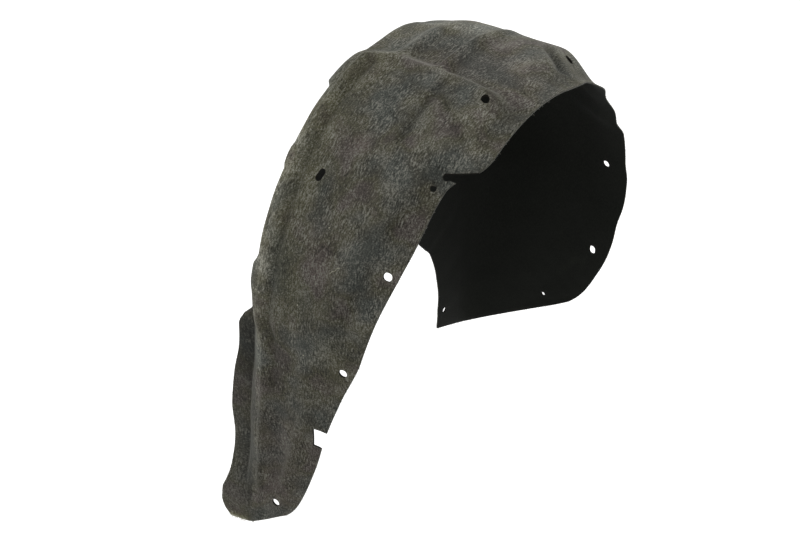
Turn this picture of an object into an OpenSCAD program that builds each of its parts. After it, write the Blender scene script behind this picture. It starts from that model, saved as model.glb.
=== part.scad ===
// Wheel arch liner: one thin shell of moulded felt that wraps over a car's front wheel.
// Its surface is worked out at stations round the arch and ruled across the tread.
// Arch frame: X towards the car's rear, Y inboard from the wing's edge, Z up.

/* [Arch] */
// Radius of the plain tread round the wheel centre (mm)
arch_r = 350; // [342:1:358]
// Length of the front leg below the wheel centre (mm)
front_leg = 456; // [440:1:470]
// Length of the rear leg below the wheel centre (mm)
rear_leg = 450; // [435:1:465]
// Forward lean of the front leg (degrees)
front_splay = 3.4; // [2.4:0.2:4.4]
// Width from the wing's plane to the inboard corner (mm)
liner_w = 320; // [316:1:332]
// Thickness of the felt (mm)
wall_t = 3.5; // [2.5:0.5:4.5]

/* [Crown] */
// Rise of the crown's highest point above the plain tread (mm)
crown_rise = 50; // [44:1:56]
// Drop of the outer terrace behind the cross ridge (mm)
terrace_drop = 17; // [12:1:19]
// Drop of the middle terrace between the two ribs (mm)
valley_drop = 11; // [7:1:13]
// Drop of the inner terrace beside the corner (mm)
ledge_drop = 5; // [3:1:7]
// Length over which the surface falls behind the cross ridge (mm)
step_run = 26; // [20:1:32]
// Height of the ribs and of the cross ridge's lip (mm)
rib_h = 3; // [2:0.5:4]
// Half width of a rib (mm)
rib_w = 9; // [8:0.5:11]
// Drop of the crown's shoulder towards the inboard corner (mm)
shoulder_drop = 14; // [8:1:16]
// Depth of the pressed crease near the rear crown screw (mm)
crease_d = 6; // [3:0.5:7]
// Height of the low hill between the cross ridge and that crease (mm)
hill_h = 3; // [1:0.5:4]

/* [Outer rim] */
// Lift of the outer rim over the rear half (mm)
rim_rise = 8; // [5:1:10]
// Depth of the valley behind the rim on the upper front (mm)
rim_valley_d = 5; // [2:0.5:6]
// Depth of the slanting fold between that valley and the relief slit (mm)
fold_d = 3; // [1:0.5:4]

/* [Front leg] */
// Height of the bead beside the inboard corner on the leg (mm)
bead_h = 5.5; // [4:0.5:7]
// Extra height of that bead near the crown (mm)
bead_gain = 2.5; // [1:0.5:3]
// Half width of the bead (mm)
bead_w = 8; // [8:0.5:10]
// Depth of the groove that runs beside the bead (mm)
groove_d = 6; // [4:0.5:7]
// Height of the low ridge on the lower leg (mm)
leg_ridge_h = 5; // [3:0.5:6]
// Depth of the channel between that ridge and the bead (mm)
channel_d = 4; // [2:0.5:5]
// Depth of the flat pad round the oval slot (mm)
pad_d = 2; // [1:0.5:4]
// Radius of that pad (mm)
pad_r = 20; // [18:1:24]

/* [Inboard side] */
// Depth of the inboard wall at its deepest station (mm)
side_drop = 341; // [325:1:350]
// Plan radius of the rear leg's inboard corner (mm)
rear_corner_r = 125; // [115:1:135]
// Bow of the rear leg's lower end beyond its slant (mm)
rear_bow = 4; // [2:0.5:6]
// Width of the foot flap at its widest (mm)
flap_w = 73; // [54:1:78]
// Set-back of the flap behind the leg's face (mm)
flap_setback = 22; // [14:1:26]

/* [Screw holes] */
// Diameter of the two crown screw holes (mm)
crown_hole_d = 14; // [10:0.5:16]
// Diameter of the two front leg screw holes (mm)
leg_hole_d = 15; // [10:0.5:17]
// Diameter of the screw hole in the front rim (mm)
rim_hole_d = 10; // [8:0.5:12]
// Diameter of the screw hole high on the rear leg (mm)
rear_hole_d = 14; // [10:0.5:16]
// Diameter of the small hole low on the rear leg (mm)
low_hole_d = 8; // [6:0.5:10]
// Diameter of the clip hole in the rear corner's side (mm)
clip_hole_d = 13; // [9:0.5:15]
// Distance of that clip hole from the wall's free edge (mm)
clip_inset = 24; // [18:1:30]

/* [Slots and edge cuts] */
// Length of the oval slot above the front leg (mm)
oval_l = 22; // [18:1:26]
// Width of the oval slot (mm)
oval_w = 12; // [9:0.5:14]
// Turn of the oval slot from the leg's run towards the outer edge (degrees)
oval_turn = 13; // [0:1:30]
// Length of the wide hole in the front rim (mm)
rim_slot_l = 16; // [14:1:20]
// Width of the wide hole in the front rim (mm)
rim_slot_w = 13; // [10:0.5:14]
// Length of the rear leg's slot (mm)
rear_slot_l = 18; // [15:1:22]
// Width of the rear leg's slot (mm)
rear_slot_w = 13; // [10:0.5:14]
// Length of the notch in the front leg's edge (mm)
notch_l = 38; // [30:1:44]
// Reach of the notch inboard from the wing's plane (mm)
notch_y = 198; // [190:1:206]
// Depth of the relief slit from the tip of its tab (mm)
slit_d = 22; // [16:1:30]
// Width of the slit's round end (mm)
slit_w = 12; // [8:0.5:14]

/* [Hidden] */
$fn = 32;

felt = [0.33, 0.33, 0.31];
top = 90;
quarter = arch_r * PI / 2;
bore_len = 40;

// Shape curves, [station, value]. Stations are degrees round the arch from its top, with
// the rear positive, and beyond 90 each leg counts as another 90.
// Distance of the outer edge from the wing's plane
rim_y = [
    [-180, 259], [-176, 247], [-170, 234], [-160, 218], [-150, 204], [-140, 191],
    [-125, 174], [-107, 144], [-90, 109], [-74, 83], [-60, 60], [-51, 50],
    [-36, 44], [-33, 37], [-27, 6], [-23, 0], [23, 0], [30, 6],
    [37, -4], [51, 15], [58, 9], [64, 12], [68, 1], [80, 1],
    [87, -4], [92, -4], [98, -2], [107, 6], [115, 9], [123, 15],
    [133, 26], [142, 38], [150, 48], [160, 61], [170, 76], [180, 92]
];
// Share of the rim's lift
rim_share = [[-180, 0], [16, 0], [30, 1], [92, 1], [120, 0], [180, 0]];
// Tread height as a share of the crown's rise
rise_share = [
    [-180, 0.04], [-159, 0.08], [-139, 0.14], [-90, 0.26], [-49, 0.4], [-25, 0.54],
    [0, 0.62], [16, 0.82], [34, 1], [54, 0.84], [74, 0.6], [92, 0.4],
    [160, 0.16], [180, 0.16]
];
// Width over which the tread climbs from the rim
flank_w = [
    [-180, 46], [-139, 52], [-120, 70], [-90, 90], [-49, 95], [-26, 80],
    [-4, 72], [16, 66], [34, 88], [50, 105], [66, 120], [180, 90]
];
// How far the inboard corner stands beyond the tread width
corner_out = [
    [-180, 20], [-157, 13], [-120, 0], [-99, -8], [-92, -7], [-85, 0],
    [-74, -3], [-12, -3], [2, 0], [180, 0]
];
// Reach of the rounding at the inboard corner
corner_reach = [
    [-180, 10], [-85, 12], [-62, 14], [-25, 12], [0, 14], [20, 24],
    [41, 50], [65, 80], [100, 110], [160, rear_corner_r], [180, rear_corner_r]
];
// Depth of the inboard wall as a share of its deepest station
side_share = [
    [-85, 0.07], [-75, 0.1], [-60, 0.176], [-45, 0.455], [-30, 0.64], [-15, 0.742],
    [0, 0.765], [20, 0.977], [45, 1], [70, 0.938], [90, 0.774], [102, 0.666],
    [116, 0.554], [132, 0.469], [150, 0.425], [165, 0.434], [180, 0.478]
];
// Direction of the inboard wall from its corner, degrees above rearward
side_head = [
    [-85, -20], [-75, -25], [-60, -52], [-45, -66], [-30, -69], [-15, -79.5],
    [0, -89], [20, -102], [45, -121], [70, -140], [90, -151], [102, -156],
    [116, -165], [132, -169], [150, -175], [165, -190], [180, -205]
];
// Width of the foot flap as a share of its widest
flap_share = [
    [-180, 0.65], [-176, 0.86], [-171, 0.97], [-166, 0.97], [-162, 0.88], [-157, 0.79],
    [-152, 0.75], [-147, 0.73], [-142, 0.74], [-130, 0.86], [-116, 0.82], [-104, 0.72],
    [-95, 0.7], [-90, 0.5], [-87, 0.22], [-85, 0.09]
];
// Slip of the flap's edge along the leg
flap_slip = [
    [-180, -9], [-176, -16], [-171, -21], [-166, -22], [-157, -18], [-149, -12],
    [-130, -3], [-104, 0], [-85, 0]
];
// Share of the crown shoulder's drop
shoulder_share = [
    [-180, 0], [-10, 0], [-6, 0.14], [2, 0.3], [8, 0.2], [11, 0.2],
    [16, 0.5], [21, 1], [49, 1], [69, 0], [180, 0]
];
// Station of the crown's cross ridge by distance from the wing's plane
crest_at = [
    [0, -11.5], [16, -10], [37, -8.2], [57, -7.1], [82, -6.7], [103, -6.2],
    [150, -5.4], [223, -5.1], [254, -4.7], [277, -6], [314, -8]
];
// Station of the pressed crease and of the hill beside it, likewise
crease_at = [[30, 21], [59, 22.1], [80, 24.9], [93, 28.2]];
hill_at = [[40, 9], [126, 21]];
// Distance of the front fold from the wing's plane
fold_y = [[-24, 50], [-21.6, 66], [-16.5, 107], [-12, 142]];
// Share of the flap's set-back
setback_share = [[-180, 0], [-165, 0.11], [-155, 0.5], [-141, 0.83], [-90, 1], [-85, 1]];

// Stations of the surface grid, closest over the crown
stations = concat(
    spaced(-180, -90, 16), spaced(-90, -21, 13), spaced(-21, 38, 26),
    spaced(38, 90, 10), spaced(90, 180, 12), [180]
);
tread_cells = 12;
corner_cells = 4;
side_cells = 7;
last_row = len(stations) - 1;

// Places of the holes, [station, distance from the wing's plane]
crown_spots = [[-9.6, 63], [31.2, 55]];
leg_spots = [[-94.4, 138], [-163.9, 279]];
rim_spot = [-36.3, 63];
rim_slot_spot = [-61.2, 80];
rear_spot = [83.5, 42];
low_spot = [152.5, 154];
oval_spot = [-43.5, 245];
rear_slot_spot = [121.4, 51];
clip_at = 163.5;
notch_at = -126.4;
slit_at = -29.5;
// Corners of the slit's mouth, [run from its station, distance from the wing's plane]
crown_nib = [12, 4];
tab_tip = [-19, 36];

function clip(v, low, high) = min(max(v, low), high);
function spaced(a, b, n) = [for (i = [0:n - 1]) a + (b - a) * i / n];
function unit(v) = v / norm(v);

// Smooth step from 0 at a to 1 at b
function ramp(a, b, x) = let (t = clip((x - a) / (b - a), 0, 1)) t * t * (3 - 2 * t);
// Smooth hump of height 1
function bump(x, w) = exp(-x * x / (w * w));
// 1 between a and b, with soft ends
function band(a, b, soft, x) = ramp(a - soft, a, x) * (1 - ramp(b, b + soft, x));

// Smooth curve through [key, value] points that never overshoots them
function cell_of(k, x) = max([for (i = [0:len(k) - 2]) if (i == 0 || x >= k[i][0]) i]);
function chord(k, i) = (k[i + 1][1] - k[i][1]) / (k[i + 1][0] - k[i][0]);
function slope(k, i) =
    i == 0 ? chord(k, 0) :
    i == len(k) - 1 ? chord(k, i - 1) :
    let (p = chord(k, i - 1), q = chord(k, i)) p * q <= 0 ? 0 : 2 * p * q / (p + q);
function curve(k, x) =
    let (
        i = cell_of(k, x),
        h = k[i + 1][0] - k[i][0],
        t = clip((x - k[i][0]) / h, 0, 1),
        r = 1 - t
    )
    (1 + 2 * t) * r * r * k[i][1] + t * r * r * h * slope(k, i)
        + t * t * (3 - 2 * t) * k[i + 1][1] - t * t * r * h * slope(k, i + 1);

// Length along the plain tread at a station, and back
function run_of(a) =
    clip(a, -top, top) * quarter / top + min(a + top, 0) * front_leg / top
        + max(a - top, 0) * rear_leg / top;
function station_of(s) =
    clip(s, -quarter, quarter) * top / quarter + min(s + quarter, 0) * top / front_leg
        + max(s - quarter, 0) * top / rear_leg;

// Point on the plain tread at run s, raised by lift, as [x, z]
function tread_xz(s, lift) =
    let (
        a = clip(s, -quarter, quarter) * top / quarter,
        drop = max(abs(s) - quarter, 0),
        r = arch_r + lift
    )
    [r * sin(a) - (s < 0 ? drop * tan(front_splay) : 0), r * cos(a) - drop];
function at_y(p, y) = [p[0], y, p[1]];

// Slant of the outer edge: its run leads or trails the corner's on the legs
function rim_slip(a) = 58 * pow(max(-a - 110, 0) / 70, 2) - 149 * pow(max(a - 95, 0) / 85, 2);
// Local bulges of the inboard corner, beyond the plain line
function lug(a) =
    9 * ramp(-20.4, -19, a) * (1 - ramp(-13, -3, a)) + 4 * band(-43, -39.6, 1.3, a)
        + 8 * band(-82, -71, 3, a);
// Bow of the rear leg's end between its edge, where t is 0, and its corner, where t is 1
function end_bow(a, t) =
    let (peak = 4 / 27)
    rear_bow * t * (1 - t) * (1 - t) / peak * pow(max(a - 95, 0) / 85, 2);

// Pressed shapes of the crown behind the cross ridge
function crown_relief(a, s, y, flank) =
    let (
        behind = s - run_of(curve(crest_at, y)),
        past = ramp(0, step_run, behind),
        outer = terrace_drop * (1 - ramp(158, 176, y)) * (1 - ramp(8, 31, a)),
        middle = valley_drop * band(188, 232, 14, y) * (1 - ramp(5, 21, a)),
        inner = ledge_drop * ramp(250, 268, y) * (1 - ramp(10, 25, a)),
        lip = bump(behind + 4, rib_w) * flank * (1 - ramp(296, 312, y)),
        rib_low = bump(y - 172, rib_w) * (1 - ramp(28, 38, a)),
        rib_high = bump(y - 248, rib_w) * (1 - ramp(7, 18, a)),
        shoulder = ramp(238, 308, y) * curve(shoulder_share, a),
        crease = bump(s - run_of(curve(crease_at, y)), 10) * band(40, 86, 14, y),
        hill = bump(s - run_of(curve(hill_at, y)), 32) * band(45, 120, 25, y)
    )
    rib_h * (lip + past * (rib_low + rib_high)) + hill_h * hill
        - past * flank * (outer + middle + inner)
        - shoulder_drop * shoulder - crease_d * crease;

// Pressed shapes of the front leg: bead, groove, ridge, channel and the oval slot's pad
function leg_relief(a, s, y, across, flank_run, from_ridge) =
    let (
        front = 1 - ramp(-10, -6.5, a),
        bead = (bead_h + bead_gain * ramp(-43, -25, a)) * ramp(-165, -155, a),
        groove = groove_d * bump(from_ridge + 16, 9) * band(-108, -10, 7, a),
        ridge = leg_ridge_h * bump(across - 50, 9) * band(-149, -114, 8, a),
        dip = 3 * bump(across - 52, 12) * band(-85, -47.5, 6.5, a),
        channel = channel_d * ramp(flank_run, flank_run + 30, across)
            * (1 - ramp(-30, -14, from_ridge)) * band(-151, -100, 12, a),
        valley = rim_valley_d * bump(y - 144, 9) * band(-27, -10, 4, a),
        fold = fold_d * bump(y - curve(fold_y, a), 13) * band(-22, -14, 3, a),
        pad = norm([s - run_of(oval_spot[0]), y - oval_spot[1]])
    )
    front * (bead * bump(from_ridge, bead_w) - groove) + ridge - dip - channel
        - valley - fold - pad_d * (1 - ramp(pad_r, pad_r + 14, pad));

// Height of the moulded tread above the plain arch at run s and distance y
function relief(s, y, edge_y, ridge_y) =
    let (
        a = station_of(s),
        across = y - edge_y,
        flank_run = curve(flank_w, a),
        flank = ramp(4, flank_run, across),
        low = rim_rise * curve(rim_share, a),
        high = crown_rise * curve(rise_share, a)
    )
    low + (high - low) * flank + crown_relief(a, s, y, flank)
        + leg_relief(a, s, y, across, flank_run, y - ridge_y);

// Distances of one row's points across the tread
function row_ys(edge_y, flank_run, end_y) =
    let (
        lip_w = 6,
        flank = flank_run - lip_w,
        start = edge_y + flank_run,
        inner = end_y - 33
    )
    concat(
        [edge_y, edge_y + lip_w, edge_y + lip_w + flank / 3, edge_y + lip_w + flank * 2 / 3],
        spaced(start, inner, tread_cells),
        [inner, end_y - 24, end_y - 16, end_y - 8, end_y]
    );

// Free edge of the foot flap, for stations on the front leg
function flap_edge(a, corner_y) =
    let (s = run_of(a) + curve(flap_slip, a))
    at_y(
        tread_xz(s, crown_rise * curve(rise_share, station_of(s))),
        corner_y + flap_w * curve(flap_share, a)
    );

// Free edge of the inboard wall, seen from its corner
function side_reach(a) =
    let (head = curve(side_head, a))
    side_drop * curve(side_share, a) * [cos(head), 0, sin(head)];

// Inboard corner of the tread at a station, before its rounding
function corner_at(a) =
    let (
        s = run_of(a),
        corner_y = liner_w + curve(corner_out, a),
        ridge_y = corner_y - curve(corner_reach, a) - 8
    )
    at_y(tread_xz(s, relief(s, corner_y, curve(rim_y, a), ridge_y)), corner_y + lug(a));

// One row of the outer skin: rim, tread, rounded corner, then flap or inboard wall
function skin_row(a) =
    let (
        u = run_of(a),
        edge_y = curve(rim_y, a),
        edge_s = u + rim_slip(a),
        corner_y = liner_w + curve(corner_out, a),
        reach = curve(corner_reach, a),
        end_y = corner_y - reach,
        ridge_y = end_y - 8,
        tread = [
            for (y = row_ys(edge_y, curve(flank_w, a), end_y))
                let (
                    t = (y - edge_y) / (corner_y - edge_y),
                    s = edge_s + (u - edge_s) * t + end_bow(a, t)
                )
                    at_y(tread_xz(s, relief(s, y, edge_y, ridge_y)), y)
        ],
        corner = corner_at(a),
        to_side = ramp(-85, -75, a),
        flap_a = min(a, -85),
        side_a = max(a, -85),
        side_edge = corner + side_reach(side_a),
        edge = flap_edge(flap_a, corner_y) * (1 - to_side) + side_edge * to_side,
        width = norm(edge - corner),
        turn = min(reach, 0.45 * width),
        past_corner = corner + unit(edge - corner) * turn,
        tread_end = tread[len(tread) - 1],
        sunk = flap_setback * curve(setback_share, flap_a) * (1 - to_side),
        ang = clip(a, -top, top),
        inward = [-sin(ang), 0, -cos(ang)]
    )
    concat(
        tread,
        [
            for (i = [1:corner_cells])
                let (t = i / corner_cells, r = 1 - t)
                    r * r * tread_end + 2 * t * r * corner + t * t * past_corner
                        + inward * sunk * ramp(0, 0.35, t * turn / width)
        ],
        [
            for (i = [1:side_cells])
                let (t = i / side_cells)
                    past_corner + (edge - past_corner) * t
                        + inward * sunk * ramp(0, 0.35, (turn + (width - turn) * t) / width)
        ]
    );

skin = [for (a = stations) skin_row(a)];
last_col = len(skin[0]) - 1;

// Outward normal of the skin at row i, column j
function normal_at(i, j) =
    unit(cross(
        skin[min(i + 1, last_row)][j] - skin[max(i - 1, 0)][j],
        skin[i][min(j + 1, last_col)] - skin[i][max(j - 1, 0)]
    ));

// Middle of the felt at a station and distance across
function mid_wall(spot) =
    let (
        s = run_of(spot[0]),
        corner_y = liner_w + curve(corner_out, spot[0]),
        ridge_y = corner_y - curve(corner_reach, spot[0]) - 8,
        lift = relief(s, spot[1], curve(rim_y, spot[0]), ridge_y)
    )
    at_y(tread_xz(s, lift - wall_t / 2), spot[1]);

// Tilt from upright of the axis that a pair of screws shares, square to the line between them
function pair_tilt(a, b) = atan2(a[2] - b[2], b[0] - a[0]);

// Place of the clip hole: inboard wall at its station, in from the free edge
clip_place = corner_at(clip_at)
    + side_reach(clip_at) * (1 - clip_inset / norm(side_reach(clip_at)));

crown_pair = [for (p = crown_spots) mid_wall(p)];
part_origin = (crown_pair[0] + crown_pair[1]) / 2;

// The moulded shell: outer skin, inner skin and the cut edge between them
module shell() {
    cols = last_col + 1;
    all_cells = [for (i = [0:last_row - 1], j = [0:last_col - 1]) i * cols + j];
    inside = (last_row + 1) * cols;
    rows_at = last_row * cols;
    outer_pts = [for (i = [0:last_row], j = [0:last_col]) skin[i][j]];
    inner_pts = [
        for (i = [0:last_row], j = [0:last_col]) skin[i][j] - wall_t * normal_at(i, j)
    ];
    outer_faces = [
        for (c = all_cells, f = [[c, c + 1, c + cols + 1], [c, c + cols + 1, c + cols]]) f
    ];
    inner_faces = [for (f = outer_faces) [f[0] + inside, f[2] + inside, f[1] + inside]];
    // Round the border in order, so that each pair of neighbours carries a strip
    border = concat(
        [for (j = [0:last_col - 1]) j],
        [for (i = [0:last_row - 1]) i * cols + last_col],
        [for (j = [last_col:-1:1]) rows_at + j],
        [for (i = [last_row:-1:1]) i * cols]
    );
    edge_faces = [
        for (k = [0:len(border) - 1])
            let (p = border[k], q = border[(k + 1) % len(border)])
                for (f = [[q, p, p + inside], [q, p + inside, q + inside]]) f
    ];
    polyhedron(
        points = concat(outer_pts, inner_pts),
        faces = concat(outer_faces, inner_faces, edge_faces),
        convexity = 8
    );
}

// Round hole along an axis tilted from upright towards the rear
module bore_at(place, tilt, d) {
    translate(place)
        rotate([0, tilt, 0])
            cylinder(h = bore_len, d = d, center = true);
}

// Two screw holes on one shared axis direction
module screw_pair(spots, d) {
    pair = [for (p = spots) mid_wall(p)];
    for (p = pair)
        bore_at(p, pair_tilt(pair[0], pair[1]), d);
}

// Single hole square to the plain arch
module single_hole(spot, d) {
    bore_at(mid_wall(spot), clip(spot[0], -top, top), d);
}

// Cutter with round ends, long way along its own X
module slot_cutter(l, w) {
    linear_extrude(height = bore_len, center = true) {
        square([l - w, w], center = true);
        for (e = [-1, 1])
            translate([e * (l - w) / 2, 0])
                circle(d = w);
    }
}

// Slot square to the plain arch, turned from the direction round the arch
module slot_at(spot, turn, l, w) {
    translate(mid_wall(spot))
        rotate([0, clip(spot[0], -top, top), 0])
            rotate([0, 0, turn])
                slot_cutter(l, w);
}

module holes() {
    screw_pair(crown_spots, crown_hole_d);
    screw_pair(leg_spots, leg_hole_d);
    single_hole(rim_spot, rim_hole_d);
    single_hole(rear_spot, rear_hole_d);
    single_hole(low_spot, low_hole_d);
    translate(clip_place)
        rotate([90, 0, 0])
            cylinder(h = bore_len, d = clip_hole_d, center = true);
    slot_at(oval_spot, -oval_turn, oval_l, oval_w);
    slot_at(rim_slot_spot, 90, rim_slot_l, rim_slot_w);
    slot_at(rear_slot_spot, 0, rear_slot_l, rear_slot_w);
}

// Square notch in the front leg's edge
module leg_notch() {
    notch = mid_wall([notch_at, notch_y]);
    reach = 80;
    translate([notch[0], notch_y - reach / 2, notch[2]])
        cube([2 * bore_len, reach, notch_l], center = true);
}

// Slit at the step in the rim, with a round end
module rim_slit() {
    end_r = slit_w / 2;
    slit_end = tab_tip + [2, slit_d - end_r];
    side = end_r * [cos(30), sin(30)];
    below = -20;
    rotate([0, slit_at, 0])
        translate([0, 0, arch_r])
            linear_extrude(height = 60, center = true) {
                translate(slit_end)
                    circle(r = end_r);
                polygon([
                    [crown_nib[0], below], crown_nib, slit_end + side,
                    slit_end - [side[1], side[0]], tab_tip, [tab_tip[0] - 15, below]
                ]);
            }
}

// The whole liner, standing in the frame of its crown screws
module liner() {
    color(felt)
        translate(-part_origin)
            difference() {
                shell();
                holes();
                leg_notch();
                rim_slit();
            }
}

liner();
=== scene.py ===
import math
import random

import bpy
import numpy as np
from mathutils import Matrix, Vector


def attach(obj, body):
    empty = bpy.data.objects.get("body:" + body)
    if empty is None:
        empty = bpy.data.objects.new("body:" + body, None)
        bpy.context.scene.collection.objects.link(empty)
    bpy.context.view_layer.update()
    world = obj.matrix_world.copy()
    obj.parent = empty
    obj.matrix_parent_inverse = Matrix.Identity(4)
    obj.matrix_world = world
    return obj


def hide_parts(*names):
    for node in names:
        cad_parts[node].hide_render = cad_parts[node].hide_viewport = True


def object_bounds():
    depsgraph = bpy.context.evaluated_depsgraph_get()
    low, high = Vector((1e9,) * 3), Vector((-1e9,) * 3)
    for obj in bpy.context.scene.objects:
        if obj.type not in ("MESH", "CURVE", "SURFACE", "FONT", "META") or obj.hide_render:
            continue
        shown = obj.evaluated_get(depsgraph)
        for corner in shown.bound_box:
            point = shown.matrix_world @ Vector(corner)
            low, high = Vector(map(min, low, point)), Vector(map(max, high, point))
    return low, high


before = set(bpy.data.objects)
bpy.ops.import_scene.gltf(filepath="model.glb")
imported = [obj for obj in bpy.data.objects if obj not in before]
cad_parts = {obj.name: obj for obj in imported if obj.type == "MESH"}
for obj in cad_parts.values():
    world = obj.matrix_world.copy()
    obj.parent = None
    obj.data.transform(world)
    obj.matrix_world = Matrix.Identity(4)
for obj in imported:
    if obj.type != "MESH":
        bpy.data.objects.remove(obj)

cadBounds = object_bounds()
mm = 0.001
print("frame loaded:", sorted(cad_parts))


def hexToLinear(code, alpha=1.0):
    out = []
    for i in (1, 3, 5):
        c = int(code[i:i + 2], 16) / 255
        out.append(c / 12.92 if c <= 0.04045 else ((c + 0.055) / 1.055) ** 2.4)
    return (*out, alpha)


def addNode(tree, kind, values=None, links=None, **settings):
    # one node with its settings, socket values and incoming links; a node given as a link
    # lends its first output
    node = tree.nodes.new("ShaderNode" + kind)
    for name, value in settings.items():
        setattr(node, name, value)
    for name, value in (values or {}).items():
        node.inputs[name].default_value = value
    for name, source in (links or {}).items():
        tree.links.new(getattr(source, "outputs", [source])[0], node.inputs[name])
    return node


def newMaterial(name):
    mat = bpy.data.materials.new(name)
    mat.use_nodes = True
    mat.node_tree.nodes.clear()
    return mat, mat.node_tree


def addObject(name, mesh):
    obj = bpy.data.objects.new(name, mesh)
    bpy.context.scene.collection.objects.link(obj)
    return obj


def clip(v, low, high):
    return np.minimum(np.maximum(v, low), high)


def ramp(a, b, x):
    t = clip((x - a) / (b - a), 0.0, 1.0)
    return t * t * (3 - 2 * t)


def fade(a, b, x):
    return 1 - ramp(a, b, x)


def bump(x, w):
    return np.exp(-(x / w) ** 2)


def band(a, b, soft, x):
    return ramp(a - soft, a, x) * fade(b, b + soft, x)


def curve(points, x):
    # smooth curve through [key, value] points that never overshoots them
    k = np.array(points, float)
    keys, vals = k[:, 0], k[:, 1]
    x = np.asarray(x, float)
    i = clip(np.searchsorted(keys, x, side="right") - 1, 0, len(keys) - 2).astype(int)
    chords = np.diff(vals) / np.diff(keys)
    slopes = np.zeros(len(vals))
    slopes[0], slopes[-1] = chords[0], chords[-1]
    p, q = chords[:-1], chords[1:]
    same = p * q > 0
    slopes[1:-1][same] = 2 * p[same] * q[same] / (p[same] + q[same])
    h = keys[i + 1] - keys[i]
    t = clip((x - keys[i]) / h, 0.0, 1.0)
    r = 1 - t
    return ((1 + 2 * t) * r * r * vals[i] + t * r * r * h * slopes[i]
            + t * t * (3 - 2 * t) * vals[i + 1] - t * t * r * h * slopes[i + 1])


# the liner's shape: the same arch, tread and curves as the solid, in mm

liner = {
    "archRadius": 350, "frontLeg": 456, "rearLeg": 450, "frontSplay": 3.4,
    "width": 320, "felt": 3.5,
    "crownRise": 50, "terraceDrop": 17, "valleyDrop": 11, "ledgeDrop": 5,
    "stepRun": 26, "ribHeight": 3, "ribWidth": 9, "lipAhead": 4,
    "shoulderDrop": 14, "creaseDepth": 6, "creaseWidth": 10, "hillHeight": 3, "hillWidth": 32,
    "rimRise": 8, "flankFrom": 4, "rimValley": 5, "foldDepth": 3, "foldWidth": 13,
    "lineWidth": 9,          # width of the leg's pressed lines
    "beadHeight": 5.5, "beadGain": 2.5, "beadWidth": 8, "grooveDepth": 6, "grooveBehind": 16,
    "legRidge": 5, "ridgeRun": 50, "dipDepth": 3, "dipRun": 52, "dipWidth": 12,
    "channelDepth": 4, "channelSoft": 30, "padDepth": 2, "padRadius": 20, "padSoft": 14,
    "sideDrop": 341, "rearCornerRadius": 125, "rearBow": 4, "flapWidth": 73, "flapSetback": 22,
    "setbackRun": 0.35,      # share of the flap over which it steps back
    "frontSlip": 58, "rearSlip": 149,    # how far the rim's ends run past their rows
    "frontTurn": 110, "rearTurn": 95,    # stations where that begins
    "lugs": (9, 4, 8),       # heights of the corner's lugs, from the crown down
    "rows": 296,             # stations round the arch
    "rowGain": 1.1,          # how much closer the rows lie over the crown
    "lipRun": 6, "cornerRun": 33, "beadBack": 8, "evenColumns": 12,   # spacing of the columns
    "cornerShare": 0.45,     # most of the flap or side wall that the round corner may take
    "edgeThin": 0.32,        # how much thinner the felt is pressed along its cut edge
    "edgeBand": 9,           # width of that pressed border
    "edgeRound": 0.45,       # how far the cut edge bulges
    "lump": 0.5,             # unevenness of the pressed felt
    "drawnOut": 0.4,         # how far the bead and flap of the front leg are drawn out
    "bendFull": 0.9,         # bend at which the painted highlight on crests and the painted shade in hollows show in full
}
# where each pressed form begins and ends, and how softly. First distances from the wing's
# plane in mm, with stations for the fades and the ribs' ends; from frontEnd on stations, but
# channelEnd is mm from the bead, valley starts with its distance, crownRun is mm of run
spans = {
    "outerEnd": (158, 176), "outerFade": (8, 31), "middle": (188, 232, 14), "middleFade": (5, 21),
    "innerStart": (250, 268), "innerFade": (10, 25), "lipEnd": (296, 312),
    "lowRib": (172, (28, 38)), "highRib": (248, (7, 18)),
    "shoulder": (238, 308), "crease": (40, 86, 14), "hill": (45, 120, 25),
    "frontEnd": (-10, -6.5), "beadSwell": (-43, -25), "beadStart": (-165, -155),
    "groove": (-108, -10, 7), "legRidge": (-149, -114, 8), "dip": (-85, -47.5, 6.5),
    "channelEnd": (-30, -14), "channel": (-151, -100, 12),
    "valley": (144, (-27, -10, 4)), "fold": (-22, -14, 3),
    "highLug": ((-20.4, -19), (-13, -3)), "smallLug": (-43, -39.6, 1.3), "lowLug": (-82, -71, 3),
    "flapToSide": (-85, -75), "crownRun": (-90, 260, 60), "drawnEnd": (-60, -30),
}

# shape curves, [station, value]: stations are degrees round the arch from its top,
# and beyond 90 each leg counts as another 90
rimY = [
    [-180, 259], [-176, 247], [-170, 234], [-160, 218], [-150, 204], [-140, 191],
    [-125, 174], [-107, 144], [-90, 109], [-74, 83], [-60, 60], [-51, 50],
    [-36, 44], [-33, 37], [-27, 6], [-23, 0], [23, 0], [30, 6],
    [37, -4], [51, 15], [58, 9], [64, 12], [68, 1], [80, 1],
    [87, -4], [92, -4], [98, -2], [107, 6], [115, 9], [123, 15],
    [133, 26], [142, 38], [150, 48], [160, 61], [170, 76], [180, 92],
]
rimShare = [[-180, 0], [16, 0], [30, 1], [92, 1], [120, 0], [180, 0]]
riseShare = [
    [-180, 0.04], [-159, 0.08], [-139, 0.14], [-90, 0.26], [-49, 0.4], [-25, 0.54],
    [0, 0.62], [16, 0.82], [34, 1], [54, 0.84], [74, 0.6], [92, 0.4],
    [160, 0.16], [180, 0.16],
]
flankWidth = [
    [-180, 46], [-139, 52], [-120, 70], [-90, 90], [-49, 95], [-26, 80],
    [-4, 72], [16, 66], [34, 88], [50, 105], [66, 120], [180, 90],
]
cornerOut = [
    [-180, 20], [-157, 13], [-120, 0], [-99, -8], [-92, -7], [-85, 0],
    [-74, -3], [-12, -3], [2, 0], [180, 0],
]
cornerReach = [
    [-180, 10], [-85, 12], [-62, 14], [-25, 12], [0, 14], [20, 24],
    [41, 50], [65, 80], [100, 110],
    [160, liner["rearCornerRadius"]], [180, liner["rearCornerRadius"]],
]
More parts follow.
